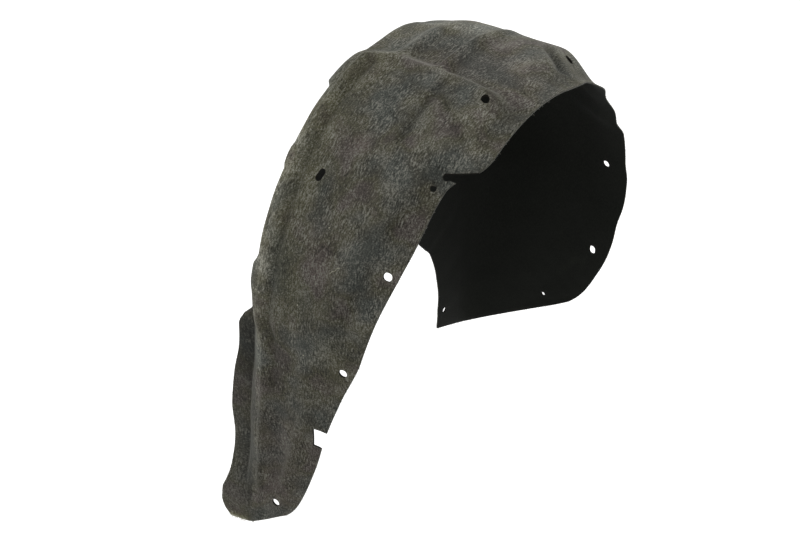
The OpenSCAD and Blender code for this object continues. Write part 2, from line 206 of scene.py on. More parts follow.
sideShare = [
    [-85, 0.07], [-75, 0.1], [-60, 0.176], [-45, 0.455], [-30, 0.64], [-15, 0.742],
    [0, 0.765], [20, 0.977], [45, 1], [70, 0.938], [90, 0.774], [102, 0.666],
    [116, 0.554], [132, 0.469], [150, 0.425], [165, 0.434], [180, 0.478],
]
sideHead = [
    [-85, -20], [-75, -25], [-60, -52], [-45, -66], [-30, -69], [-15, -79.5],
    [0, -89], [20, -102], [45, -121], [70, -140], [90, -151], [102, -156],
    [116, -165], [132, -169], [150, -175], [165, -190], [180, -205],
]
flapShare = [
    [-180, 0.65], [-176, 0.86], [-171, 0.97], [-166, 0.97], [-162, 0.88], [-157, 0.79],
    [-152, 0.75], [-147, 0.73], [-142, 0.74], [-130, 0.86], [-116, 0.82], [-104, 0.72],
    [-95, 0.7], [-90, 0.5], [-87, 0.22], [-85, 0.09],
]
flapSlip = [
    [-180, -9], [-176, -16], [-171, -21], [-166, -22], [-157, -18], [-149, -12],
    [-130, -3], [-104, 0], [-85, 0],
]
shoulderShare = [
    [-180, 0], [-10, 0], [-6, 0.14], [2, 0.3], [8, 0.2], [11, 0.2],
    [16, 0.5], [21, 1], [49, 1], [69, 0], [180, 0],
]
# station of the cross ridge, crease and hill by distance from the wing's plane
crestAt = [
    [0, -11.5], [16, -10], [37, -8.2], [57, -7.1], [82, -6.7], [103, -6.2],
    [150, -5.4], [223, -5.1], [254, -4.7], [277, -6], [314, -8],
]
creaseAt = [[30, 21], [59, 22.1], [80, 24.9], [93, 28.2]]
hillAt = [[40, 9], [126, 21]]
# distance of the front fold from the wing's plane
foldY = [[-24, 50], [-21.6, 66], [-16.5, 107], [-12, 142]]
setbackShare = [[-180, 0], [-165, 0.11], [-155, 0.5], [-141, 0.83], [-90, 1], [-85, 1]]

crownSpots = [(-9.6, 63), (31.2, 55)]
legSpots = [(-94.4, 138), (-163.9, 279)]
rimSpot, rimSlotSpot = (-36.3, 63), (-61.2, 80)
rearSpot, lowSpot = (83.5, 42), (152.5, 154)
ovalSpot, rearSlotSpot = (-43.5, 245), (121.4, 51)
clipAt, slitAt = 163.5, -29.5
notchSpot = (-126.4, 198)
crownNib, tabTip = (12, 4), (-19, 36)

quarter = liner["archRadius"] * math.pi / 2


def runOf(a):
    return (clip(a, -90, 90) * quarter / 90 + np.minimum(a + 90, 0) * liner["frontLeg"] / 90
            + np.maximum(a - 90, 0) * liner["rearLeg"] / 90)


def stationOf(s):
    return (clip(s, -quarter, quarter) * 90 / quarter
            + np.minimum(s + quarter, 0) * 90 / liner["frontLeg"]
            + np.maximum(s - quarter, 0) * 90 / liner["rearLeg"])


def treadPoint(s, lift, y):
    s = np.asarray(s, float)
    ang = clip(s, -quarter, quarter) / liner["archRadius"]
    drop = np.maximum(np.abs(s) - quarter, 0)
    r = liner["archRadius"] + lift
    x = r * np.sin(ang) - np.where(s < 0, drop * math.tan(math.radians(liner["frontSplay"])), 0)
    z = r * np.cos(ang) * (drop == 0) - drop
    return np.stack(np.broadcast_arrays(x, y, z), -1)


def towardsEnd(a, start):
    # nothing up to the start station, then growing to 1 at the leg's end
    return (max(a - start, 0) / (180 - start)) ** 2


def rimSlip(a):
    return (liner["frontSlip"] * towardsEnd(-a, liner["frontTurn"])
            - liner["rearSlip"] * towardsEnd(a, liner["rearTurn"]))


def lug(a):
    high, small, low = liner["lugs"]
    rise, end = spans["highLug"]
    return (high * ramp(*rise, a) * fade(*end, a) + small * band(*spans["smallLug"], a)
            + low * band(*spans["lowLug"], a))


def endBow(a, t):
    # the rear leg's end bows out between its edge (t 0) and its corner (t 1); 27 / 4 makes
    # the curve's top 1
    return liner["rearBow"] * t * (1 - t) ** 2 * 27 / 4 * towardsEnd(a, liner["rearTurn"])


def crownRelief(a, s, y, flank):
    behind = s - runOf(curve(crestAt, y))
    past = ramp(0, liner["stepRun"], behind)
    outer = liner["terraceDrop"] * fade(*spans["outerEnd"], y) * fade(*spans["outerFade"], a)
    middle = liner["valleyDrop"] * band(*spans["middle"], y) * fade(*spans["middleFade"], a)
    inner = liner["ledgeDrop"] * ramp(*spans["innerStart"], y) * fade(*spans["innerFade"], a)
    lip = bump(behind + liner["lipAhead"], liner["ribWidth"]) * flank * fade(*spans["lipEnd"], y)
    ribs = sum(bump(y - line, liner["ribWidth"]) * fade(*end, a)
               for line, end in (spans["lowRib"], spans["highRib"]))
    shoulder = ramp(*spans["shoulder"], y) * curve(shoulderShare, a)
    crease = bump(s - runOf(curve(creaseAt, y)), liner["creaseWidth"]) * band(*spans["crease"], y)
    hill = bump(s - runOf(curve(hillAt, y)), liner["hillWidth"]) * band(*spans["hill"], y)
    return (liner["ribHeight"] * (lip + past * ribs) + liner["hillHeight"] * hill
            - past * flank * (outer + middle + inner)
            - liner["shoulderDrop"] * shoulder - liner["creaseDepth"] * crease)


def legRelief(a, s, y, across, flankRun, fromBead):
    wide = liner["lineWidth"]
    bead = ((liner["beadHeight"] + liner["beadGain"] * ramp(*spans["beadSwell"], a))
            * ramp(*spans["beadStart"], a) * bump(fromBead, liner["beadWidth"]))
    groove = (liner["grooveDepth"] * bump(fromBead + liner["grooveBehind"], wide)
              * band(*spans["groove"], a))
    ridge = liner["legRidge"] * bump(across - liner["ridgeRun"], wide) * band(*spans["legRidge"], a)
    dip = (liner["dipDepth"] * bump(across - liner["dipRun"], liner["dipWidth"])
           * band(*spans["dip"], a))
    channel = (liner["channelDepth"] * ramp(flankRun, flankRun + liner["channelSoft"], across)
               * fade(*spans["channelEnd"], fromBead) * band(*spans["channel"], a))
    line, length = spans["valley"]
    valley = liner["rimValley"] * bump(y - line, wide) * band(*length, a)
    fold = (liner["foldDepth"] * bump(y - curve(foldY, a), liner["foldWidth"])
            * band(*spans["fold"], a))
    fromPad = np.hypot(s - runOf(ovalSpot[0]), y - ovalSpot[1]) - liner["padRadius"]
    return (fade(*spans["frontEnd"], a) * (bead - groove) + ridge - dip - channel - valley - fold
            - liner["padDepth"] * fade(0, liner["padSoft"], fromPad))


def relief(s, y, edgeY, beadY):
    a = stationOf(s)
    across = y - edgeY
    flankRun = curve(flankWidth, a)
    flank = ramp(liner["flankFrom"], flankRun, across)
    low = liner["rimRise"] * curve(rimShare, a)
    high = liner["crownRise"] * curve(riseShare, a)
    return (low + (high - low) * flank + crownRelief(a, s, y, flank)
            + legRelief(a, s, y, across, flankRun, y - beadY))


def splitUp(stops, counts):
    out = []
    for a, b, n in zip(stops[:-1], stops[1:], counts):
        out += [a + (b - a) * i / n for i in range(n)]
    return np.array(out + [stops[-1]])


treadCounts = [3] + [5] * (3 + liner["evenColumns"]) + [3] * 4
cornerCount, sideCount = 12, 42


def rowLines(a):
    # run, rim line, corner line, reach of the round corner and bead line of a station's row
    cornerY = liner["width"] + float(curve(cornerOut, a))
    reach = float(curve(cornerReach, a))
    beadY = cornerY - reach - liner["beadBack"]
    return float(runOf(a)), float(curve(rimY, a)), cornerY, reach, beadY


def facePoint(a, y, sunk=0.0, out=0.0):
    # point of the outer face, sunk into the felt or moved out across
    run, edgeY, _, _, beadY = rowLines(a)
    lift = float(relief(np.float64(run), np.float64(y), edgeY, beadY))
    return treadPoint(run, lift - sunk, y + out)


def cornerAt(a):
    return facePoint(a, rowLines(a)[2], out=float(lug(a)))


def midWall(a, y):
    # middle of the felt at a station and a distance from the wing's plane
    return facePoint(a, y, sunk=liner["felt"] / 2)


def archNormal(a):
    ang = math.radians(min(max(a, -90), 90))
    return np.array([math.sin(ang), 0, math.cos(ang)])


def sideReach(a):
    # free edge of the side wall, seen from its corner
    head = math.radians(float(curve(sideHead, a)))
    depth = liner["sideDrop"] * float(curve(sideShare, a))
    return depth * np.array([math.cos(head), 0, math.sin(head)])


def skinRow(a):
    # one row of the outer face: rim, tread, rounded corner, then flap or side wall
    u, edgeY, cornerY, reach, beadY = rowLines(a)
    edgeS = u + rimSlip(a)
    endY = cornerY - reach
    lip, count = liner["lipRun"], liner["evenColumns"]
    # columns keep their order where the flank is wide and the leg narrow
    inner = endY - liner["cornerRun"]
    start = min(edgeY + float(curve(flankWidth, a)), inner - lip)
    flank = start - edgeY - lip
    stops = [edgeY] + [edgeY + lip + flank * i / 3 for i in range(3)]
    stops += [start + (inner - start) * i / count for i in range(count + 1)]
    stops += [endY - liner["beadBack"] * i for i in (3, 2, 1, 0)]
    y = splitUp(stops, treadCounts)
    t = (y - edgeY) / (cornerY - edgeY)
    s = edgeS + (u - edgeS) * t + endBow(a, t)
    tread = treadPoint(s, relief(s, y, edgeY, beadY), y)
    corner = cornerAt(a)
    flapLast = spans["flapToSide"][0]
    toSide = float(ramp(*spans["flapToSide"], a))
    flapA, sideA = min(a, flapLast), max(a, flapLast)
    sideEdge = corner + sideReach(sideA)
    fs = runOf(flapA) + float(curve(flapSlip, flapA))
    flapEdge = treadPoint(fs, liner["crownRise"] * float(curve(riseShare, stationOf(fs))),
                          cornerY + liner["flapWidth"] * float(curve(flapShare, flapA)))
    edge = flapEdge * (1 - toSide) + sideEdge * toSide
    width = float(np.linalg.norm(edge - corner))
    turn = min(reach, liner["cornerShare"] * width)
    past = corner + (edge - corner) / width * turn
    sunk = liner["flapSetback"] * float(curve(setbackShare, flapA)) * (1 - toSide)

    def setBack(run):
        return -archNormal(a) * sunk * ramp(0, liner["setbackRun"], run / width)

    t = (np.arange(1, cornerCount + 1) / cornerCount)[:, None]
    bend = ((1 - t) ** 2 * tread[-1] + 2 * t * (1 - t) * corner + t * t * past
            + setBack(t * turn))
    t = (np.arange(1, sideCount + 1) / sideCount)[:, None]
    side = past + (edge - past) * t + setBack(turn + (width - turn) * t)
    return np.concatenate([tread, bend, side])


partOrigin = (midWall(*crownSpots[0]) + midWall(*crownSpots[1])) / 2


def toFrame(points):
    return (np.asarray(points, float) - partOrigin) * mm


def stationList():
    # rows follow run length, closer over the crown's pressed shapes
    samples = 4000
    s = np.linspace(float(runOf(-180)), float(runOf(180)), samples)
    dense = 1 + liner["rowGain"] * band(*spans["crownRun"], s)
    pace = np.concatenate([[0], np.cumsum((dense[1:] + dense[:-1]) / 2)])
    even = np.linspace(0, pace[-1], liner["rows"])
    return stationOf(np.interp(even, pace, s))


def gridNormals(p):
    n = np.cross(np.gradient(p, axis=0), np.gradient(p, axis=1))
    return n / np.linalg.norm(n, axis=-1, keepdims=True)


stations = stationList()
outer = np.array([skinRow(float(a)) for a in stations])
nRows, nCols = outer.shape[:2]
cornerColumn = nCols - 1 - sideCount - cornerCount
normal = gridNormals(outer)

# length across each row, so that the felt's pattern isn't stretched; over the front leg's
# bead and flap the felt is drawn out, and its fibres lie further apart
step = np.linalg.norm(np.diff(outer, axis=1), axis=-1)
pastTread = ramp(-5, 3, np.arange(nCols - 1) - cornerColumn)[None, :]
drawn = 1 - liner["drawnOut"] * pastTread * fade(*spans["drawnEnd"], stations)[:, None]
acrossLen = np.concatenate([np.zeros((nRows, 1)), np.cumsum(step * drawn, axis=1)], axis=1)
acrossLen += curve(rimY, stations)[:, None]
alongLen = runOf(stations)[:, None] + np.zeros((1, nCols))

# distance from the cut edge, for the pressed border
fromRim = np.concatenate([np.zeros((nRows, 1)), np.cumsum(step, axis=1)], axis=1)
fromFree = fromRim[:, -1:] - fromRim
rowStep = np.abs(np.gradient(runOf(stations)))
fromStart = np.cumsum(rowStep)[:, None] - rowStep[0]
fromEnd = fromStart[-1] - fromStart
edgeDist = np.minimum(np.minimum(fromRim, fromFree), np.minimum(fromStart, fromEnd))
border = fade(0, liner["edgeBand"], edgeDist)

# the pressed felt is never quite even: waves 7 to 23 cm long, fading out at the border
waves = (np.sin(alongLen / 23 + 1.3 * np.sin(acrossLen / 37)) * np.sin(acrossLen / 29 + 0.8)
         + 0.6 * np.sin(alongLen / 11.5 + 2.1 + acrossLen / 19) * np.sin(acrossLen / 13.7))
outer = outer + normal * (waves * liner["lump"] * (1 - border))[..., None]
thick = liner["felt"] * (1 - liner["edgeThin"] * border)
outer = outer - normal * (liner["felt"] * liner["edgeThin"] * 0.5 * border)[..., None]
wheelSide = outer - normal * thick[..., None]
print("surface rows and columns:", nRows, nCols)


def bendOf(p, n):
    # how far each point stands above its neighbours: pressed crests are positive
    out = np.zeros(p.shape[:2])
    for reach in (2, 4):
        mean = np.zeros_like(p)
        for axis in (0, 1):
            for sign in (-1, 1):
                mean += np.roll(p, sign * reach, axis=axis)
        out += np.einsum("ijk,ijk->ij", p - mean / 4, n) / reach
    out[:4], out[-4:], out[:, :4], out[:, -4:] = 0, 0, 0, 0
    return out


bendMap = np.clip(bendOf(outer, normal) / liner["bendFull"], -1, 1)


# painted shade and painted highlight on the outer face, with a pale frayed patch at the foot's
# edge:
# painted shade along the valley, the dip, the crease, behind the cross ridge and on the flap,
# painted highlight on the hill, the crown's top and the bead's inboard side. Each entry gives
# the amount (brighter above 0), the width in mm, then points (station, distance from the wing's
# plane)
shadeHighlightAndFray = [
    (-0.34, 11, [(-9, 145), (-16, 143), (-21, 145), (-28, 148)]),
    (-0.2, 17, [(-58, 110), (-64, 119), (-70, 129), (-76, 140), (-82, 150)]),
    (-0.28, 12, [(-4, 128), (-1.5, 109), (-6.6, 62), (-7.7, 38)]),
    (-0.38, 10, [(25.8, 81), (22.7, 59), (22, 45), (21.5, 33)]),
    (-0.2, 18, [(-42.8, 91), (-49, 97)]),
    (-0.25, 18, [(-3.5, 19), (-10.7, 24)]),
    (0.16, 18, [(-14.5, 63), (-18.7, 48), (-22.9, 31)]),
    (0.2, 20, [(19.6, 123), (13.4, 88), (8.8, 55)]),
    (0.85, 20, [(-25, 315), (-32, 313), (-46, 315), (-53, 311), (-69, 303), (-77, 303)]),
    (0.42, 15, [(-83, 302), (-98, 306), (-114, 306)]),
    (-0.4, 26, [(-97, 350), (-112, 352)]),
    (0.6, 30, [(10, 300), (15.5, 275), (19, 240), (23, 206)]),
    (0.16, 14, [(-113, 245), (-133, 258)]),
    (-0.16, 60, [(-105, 270), (-150, 285)]),
    (-0.14, 30, [(-35, 55), (-52, 75)]),
    (-0.15, 34, [(18, 30), (30, 40)]),
    (0.2, 3.5, [(-151, 300), (-160, 303), (-170, 305), (-180, 306)]),
    (-0.15, 5, [(-151, 309), (-160, 312), (-180, 315)]),
    (1.5, 9, [(-180, 396), (-180, 375), (-180, 356)]),
]
# warmer above 0 (rosy wool), below 0 olive
tints = [
    (0.8, 15, [(-32.6, 193), (-32.8, 208)]), (0.5, 45, [(-130, 262), (-165, 275)]),
    (0.35, 48, [(1.2, 193), (2.5, 140), (11, 117), (5, 56)]), (0.5, 34, [(-66, 200), (-58, 235)]),
    (-0.9, 32, [(-8, 269), (-21.5, 285), (-43, 267), (-59, 263), (-76, 238)]),
    (-1.4, 16, [(-180, 396), (-180, 356)]), (-0.5, 30, [(-86, 150), (-100, 160)]),
]
# painted highlight on the rear leg's wheel side, as paler streaks, and painted shade in a broad
# darker band
wheelSideLightShade = [(0.5, 8, [(146.4, 121), (134.2, 83)]), (0.35, 7, [(128, 60), (139, 74)]),
          (-0.2, 60, [(100, 300), (150, 300)])]


def markField(lightAndMarks):
    # each mark fades with the distance from its line, over the sheet laid flat
    total = np.zeros(alongLen.shape)
    for amount, width, points in lightAndMarks:
        line = [(float(runOf(a)), y) for a, y in points]
        near = np.full(alongLen.shape, 1e9)
        for (s0, y0), (s1, y1) in zip(line[:-1], line[1:]):
            ds, dy = s1 - s0, y1 - y0
            t = clip(((alongLen - s0) * ds + (outer[..., 1] - y0) * dy) / (ds * ds + dy * dy), 0, 1)
            near = np.minimum(near, np.hypot(alongLen - s0 - t * ds, outer[..., 1] - y0 - t * dy))
        total += amount * bump(near, width)
    return total


paintedLightAndMarksMap, tintMap, wheelSideLightShadeMap = markField(shadeHighlightAndFray), markField(tints), markField(wheelSideLightShade)
# painted shade on the flap: darkest beside the leg, whose corner shades it, and paler towards its
# free edge, in mm from the corner
flapPaintedShade = {"amount": 0.58, "least": 0.45, "fade": (10, 62), "stations": (-165, -92, 16)}
flapColumns = ramp(0, 8, np.arange(nCols) - cornerColumn)[None, :]
flapShade = fade(*flapPaintedShade["fade"], fromRim - fromRim[:, [cornerColumn]])
flapShade = flapPaintedShade["least"] + (1 - flapPaintedShade["least"]) * flapShade
paintedLightAndMarksMap -= (flapPaintedShade["amount"] * flapColumns * flapShade
            * band(*flapPaintedShade["stations"], stations)[:, None])


def ringIndex():
    # border vertices in order, so that neighbours carry the edge strip
    grid = np.arange(nRows * nCols).reshape(nRows, nCols)
    return np.concatenate([grid[0, :-1], grid[:-1, -1], grid[-1, :0:-1], grid[:0:-1, 0]])


def meshFrom(name, points, faces):
    mesh = bpy.data.meshes.new(name)
    mesh.from_pydata(toFrame(np.array(points)).tolist(), [], faces)
    return mesh


# the wheel side's pattern is shifted by this many mm, so that it doesn't mirror the outer face
wheelShift = (37, 11)


def buildShell(name):
    count = nRows * nCols
    grid = np.arange(count).reshape(nRows, nCols)
    corners = (grid[:-1, :-1], grid[1:, :-1], grid[1:, 1:], grid[:-1, 1:])
    outFaces = np.stack([c.ravel() for c in corners], 1)
    inFaces = outFaces[:, ::-1] + count
    ring = ringIndex()
    n = len(ring)
    outPts, inPts = outer.reshape(-1, 3), wheelSide.reshape(-1, 3)
    # two rings between the faces round the cut edge over
    away = edgeFrame(ring)[1] * liner["edgeRound"]
    rings = [outPts[ring] * (1 - t) + inPts[ring] * t + away for t in (0.25, 0.75)]
    pts = np.concatenate([outPts, inPts] + rings)
    chain = [ring, 2 * count + np.arange(n), 2 * count + n + np.arange(n), ring + count]
    strips = [np.stack([p, np.roll(p, -1), np.roll(q, -1), q], 1)
              for p, q in zip(chain[:-1], chain[1:])]
    faces = np.concatenate([outFaces, inFaces] + strips)
    mesh = meshFrom(name, pts, faces.tolist())
    slots = np.repeat([0, 1, 2], [len(outFaces), len(inFaces), 3 * n]).astype(np.int32)
    mesh.polygons.foreach_set("material_index", slots)

    def channel(face, back, shift=0.0):
        # one value for each vertex: both faces, then the two rings of the cut edge
        face, back = face.ravel(), back.ravel()
        return np.concatenate([face, back, face[ring] + shift, face[ring] + 2 * shift])

    # felt coordinates in metres, the bend of the pressed shape (for the painted highlight on crests
    # and painted shade in hollows), and the painted light and shade with the tint patches
    layers = {
        "feltRun": (channel(alongLen, alongLen + wheelShift[0]) * mm,
                    channel(acrossLen, acrossLen + wheelShift[1], 1) * mm),
        "bendHighlightShadeMap": (channel(bendMap, -bendMap), channel(bendMap * 0, bendMap * 0)),
        "paintedLightAndMarksMap": (channel(paintedLightAndMarksMap, wheelSideLightShadeMap), channel(tintMap, tintMap * 0)),
    }
    loops = np.zeros(len(mesh.loops), np.int32)
    mesh.loops.foreach_get("vertex_index", loops)
    for layerName, (first, second) in layers.items():
        layer = mesh.uv_layers.new(name=layerName)
        layer.data.foreach_set("uv", np.stack([first[loops], second[loops]], 1).ravel())
    mesh.validate()
    mesh.update()
    return addObject(name, mesh)


def edgeFrame(ring):
    # middle of the cut edge and the direction that leaves the sheet there
    outPts, inPts = outer.reshape(-1, 3), wheelSide.reshape(-1, 3)
    mid = (outPts[ring] + inPts[ring]) / 2
    along = np.roll(mid, -1, axis=0) - np.roll(mid, 1, axis=0)
    away = np.cross(normal.reshape(-1, 3)[ring], along)
    away /= np.linalg.norm(away, axis=1, keepdims=True) + 1e-9
    away *= np.sign(np.einsum("ij,ij->i", away, mid - outPts[inwardOf(ring)]))[:, None]
    away = away + np.roll(away, 1, axis=0) + np.roll(away, -1, axis=0)
    return mid, away / (np.linalg.norm(away, axis=1, keepdims=True) + 1e-9)


def inwardOf(ring):
    # the neighbour of each border vertex towards the middle of the sheet
    i, j = ring // nCols, ring % nCols
    return clip(i, 1, nRows - 2) * nCols + clip(j, 1, nCols - 2)


# holes, slots, notch and slit, cut square through the felt: length and width of each hole

cuts = {
    "crownHole": (14, 14), "legHole": (15, 15), "rimHole": (10, 10), "rearHole": (14, 14),
    "lowHole": (8, 8), "clipHole": (13, 13), "clipInset": 24,
    "oval": (22, 12), "ovalTurn": -13, "rimSlot": (16, 13), "rearSlot": (18, 13),
    "notchLength": 38, "notchReach": 80, "slitDepth": 22, "slitWidth": 12, "slitOpen": -20,
    "through": 40, "sides": 40,
    "wallSlot": 3,           # material slot of the holes' walls
    "smoothBelow": 55,       # edges sharper than this angle stay sharp
}


def prism(outline, height, place, axisX, axisY):
    # closed prism over an outline drawn in the plane of two axes
    axisX, axisY = np.array(axisX, float), np.array(axisY, float)
    axisZ = np.cross(axisX, axisY)
    base = [np.asarray(place) + x * axisX + y * axisY for x, y in outline]
    n = len(base)
    pts = [p - axisZ * height / 2 for p in base] + [p + axisZ * height / 2 for p in base]
    faces = [list(range(n))[::-1], list(range(n, 2 * n))]
    faces += [[i, (i + 1) % n, n + (i + 1) % n, n + i] for i in range(n)]
    return pts, faces


def roundOutline(l, d, turn=0.0):
    # circle, or a slot with round ends when l is longer than d
    c, s = math.cos(math.radians(turn)), math.sin(math.radians(turn))
    out = []
    for k in range(cuts["sides"]):
        ang = 2 * math.pi * (k + 0.5) / cuts["sides"]
        x = math.cos(ang) * d / 2 + math.copysign((l - d) / 2, math.cos(ang))
        y = math.sin(ang) * d / 2
        out.append((x * c - y * s, x * s + y * c))
    return out


def archAxes(a):
    # directions round the arch and across it at a station
    x, _, z = archNormal(a)
    return (z, 0, -x), (0, 1, 0)


def cutterParts():
    parts = []
    through = cuts["through"]
    for spots, hole in ((crownSpots, "crownHole"), (legSpots, "legHole")):
        # both holes of a pair are square to the line between them
        first, last = [midWall(*spot) for spot in spots]
        tilt = math.atan2(first[2] - last[2], last[0] - first[0])
        for place in (first, last):
            parts.append(prism(roundOutline(*cuts[hole]), through, place,
                               (math.cos(tilt), 0, -math.sin(tilt)), (0, 1, 0)))
    for spot, hole, turn in ((rimSpot, "rimHole", 0), (rearSpot, "rearHole", 0),
                             (lowSpot, "lowHole", 0), (ovalSpot, "oval", cuts["ovalTurn"]),
                             (rimSlotSpot, "rimSlot", 90), (rearSlotSpot, "rearSlot", 0)):
        parts.append(prism(roundOutline(*cuts[hole], turn), through, midWall(*spot),
                           *archAxes(spot[0])))
    reach = sideReach(clipAt)
    place = cornerAt(clipAt) + reach * (1 - cuts["clipInset"] / np.linalg.norm(reach))
    parts.append(prism(roundOutline(*cuts["clipHole"]), through, place, (1, 0, 0), (0, 0, 1)))
    h, r = cuts["notchLength"] / 2, cuts["notchReach"]
    parts.append(prism([(-h, -r), (h, -r), (h, 0), (-h, 0)], 2 * through,
                       midWall(*notchSpot), (0, 0, -1), (0, 1, 0)))
    # the slit at the step in the rim: a wedge with a round end
    endR = cuts["slitWidth"] / 2
    endX, endY = tabTip[0] + 2, tabTip[1] + cuts["slitDepth"] - endR
    outline = [(crownNib[0], cuts["slitOpen"]), crownNib]
    for k in range(13):
        ang = math.radians(30 + k * 15)
        outline.append((endX + endR * math.cos(ang), endY + endR * math.sin(ang)))
    outline += [(endX - endR * 0.5, endY - endR * 0.87), tabTip, (tabTip[0] - 15, cuts["slitOpen"])]
    parts.append(prism(outline, 1.5 * through, liner["archRadius"] * archNormal(slitAt),
                       *archAxes(slitAt)))
    return parts


def buildCutter(name):
    pts, faces = [], []
    for p, f in cutterParts():
        faces += [[i + len(pts) for i in face] for face in f]
        pts += p
    mesh = meshFrom(name, pts, faces)
    mesh.validate()
    return addObject(name, mesh)


def cutHoles(shell, cutter, materials):
    for mat in materials:
        shell.data.materials.append(mat)
        cutter.data.materials.append(mat)
    for poly in cutter.data.polygons:
        poly.material_index = cuts["wallSlot"]
    mod = shell.modifiers.new("holes", "BOOLEAN")
    mod.object, mod.operation, mod.solver = cutter, "DIFFERENCE", "MANIFOLD"
    bpy.context.view_layer.update()
    graph = bpy.context.evaluated_depsgraph_get()
    mesh = bpy.data.meshes.new_from_object(shell.evaluated_get(graph), depsgraph=graph,
                                           preserve_all_data_layers=True)
    shell.modifiers.clear()
    old, shell.data = shell.data, mesh
    mesh.name = shell.name
    bpy.data.meshes.remove(old)
    bpy.data.objects.remove(cutter)
    for poly in mesh.polygons:
        poly.use_smooth = True
    mesh.set_sharp_from_angle(angle=math.radians(cuts["smoothBelow"]))


# ranges and finishes stand in the order of rangeSockets and finishSockets, and of colour
# stops the two outer ones come first

feltLook = {
    "lightFibre": "#8d8c82", "darkFibre": "#272722", "rose": "#5b504d", "olive": "#55533f",
    # slate, rosy, plain and olive wool in clouds from carding
    "clouds": ((0.33, "#4b4e4a"), (0.67, "#554e4a"), (0.46, "#4f4e46"), (0.55, "#525041")),
    "cloud": 80.0,
    "fibreWidth": 2.7,       # real fibres are 0.03 mm, drawn as coarse as the tufts that show
    "fibreLength": 8.5,
    "leans": (4, 56, 100, 146),          # degrees from the run round the arch
    "patch": 34.0,           # size of the areas where the punching leans one way
    "leanRange": (0.42, 0.58, 0.2, 0.75),
    "legRange": (-0.3, -0.6, 0.6, 1.9),  # the first lean gains from here down the front leg
    "shareSum": 2.2,         # what the first lean gains there the second loses
    "curl": 22.0, "curlReach": 6.0,      # fibres wander by this much over this length
    "grain": 2.6, "grainWeight": 1.25,   # matted grain between the tufts
    "mottle": 48.0, "mottleWeight": 0.78,    # paler and darker areas
    "brokenRange": (0.3, 0.7, 0.65, 1.35),   # how the mottle breaks up the tint patches and the painted light and shade
    "contrast": 1.95,
    # painted highlight on crests and painted shade in hollows, over this range of bend
    "crestHighlight": 0.05, "hollowShade": 0.16, "bends": (0.06, 0.7),
    "tintGain": 0.9, "leastLightAndMarkGain": 0.3,
    "relief": (0.5, 0.5),    # strength, and height in mm
    "finish": (0.95, 0.2, 0.35, 0.4), "sheen": "#c8c8be",
}
blackLook = {
    "base": "#0f110d", "fibre": "#1b1d18", "bare": "#0a0c09",
    "fibreWidth": 1.8, "fibreLength": 6.0,
    "leans": ((12, 3.3), (71, 5.1), (128, 9.4)), "raisedRange": (0.52, 0.7, 0, 1),
    "raisedShare": 0.5, "cloud": 55.0, "relief": (0.35, 0.25),
    "finish": (0.85, 0.14, 0.02, 0.5),
}
edgeLook = {
    "layers": ((0.35, "#20201d"), (0.68, "#7b7b70"), (0.5, "#45453e")), "layer": 0.9,
    "relief": (0.6, 0.5), "finish": (0.97, 0.15, 0.25, 0.5),
}
# near-black painted shade for the holes' walls
holeShadeLook = {
    "tones": ("#0d0c0a", "#26241f"), "fleck": 1.1, "detail": 2.0, "finish": (0.95, 0.1),
}
rangeSockets = ("From Min", "From Max", "To Min", "To Max")
finishSockets = ("Roughness", "Specular IOR Level", "Sheen Weight", "Sheen Roughness")
# colour sockets of the mix node, which its names don't tell apart
mixFirst, mixSecond, mixResult = 6, 7, 2


def mapParts(tree, name):
    # the two values that a UV layer carries
    layer = addNode(tree, "UVMap", uv_map=name)
    return addNode(tree, "SeparateXYZ", links={"Vector": layer}).outputs


def setStops(node, stops):
    elements = node.color_ramp.elements
    for k, (at, code) in enumerate(stops):
        stop = elements[k] if k < 2 else elements.new(at)
        stop.position = at
        stop.color = hexToLinear(code)


def fibreLayer(tree, uv, angle, look, shift):
    # strokes along one lean: a noise squeezed across and stretched along
    size = (1 / (look["fibreLength"] * mm), 1 / (look["fibreWidth"] * mm), 1)
    place = addNode(tree, "Mapping", {"Rotation": (0, 0, math.radians(angle)),
                                      "Location": (shift, shift * 0.37, 0), "Scale": size},
                    {"Vector": uv})
    return addNode(tree, "TexNoise", {"Scale": 1.0, "Detail": 1.6, "Roughness": 0.55},
                   {"Vector": place}, noise_dimensions="2D")


def closeSurface(tree, look, links, height=None):
    # the relief where there is one, then the shader and the output
    if height is not None:
        strength, depth = look["relief"]
        links["Normal"] = addNode(tree, "Bump", {"Strength": strength, "Distance": depth * mm},
                                  {"Height": height})
    values = {"IOR": 1.5, **dict(zip(finishSockets, look["finish"]))}
    if "sheen" in look:
        values["Sheen Tint"] = hexToLinear(look["sheen"])
    shader = addNode(tree, "BsdfPrincipled", values, links)
    addNode(tree, "OutputMaterial", links={"Surface": shader})


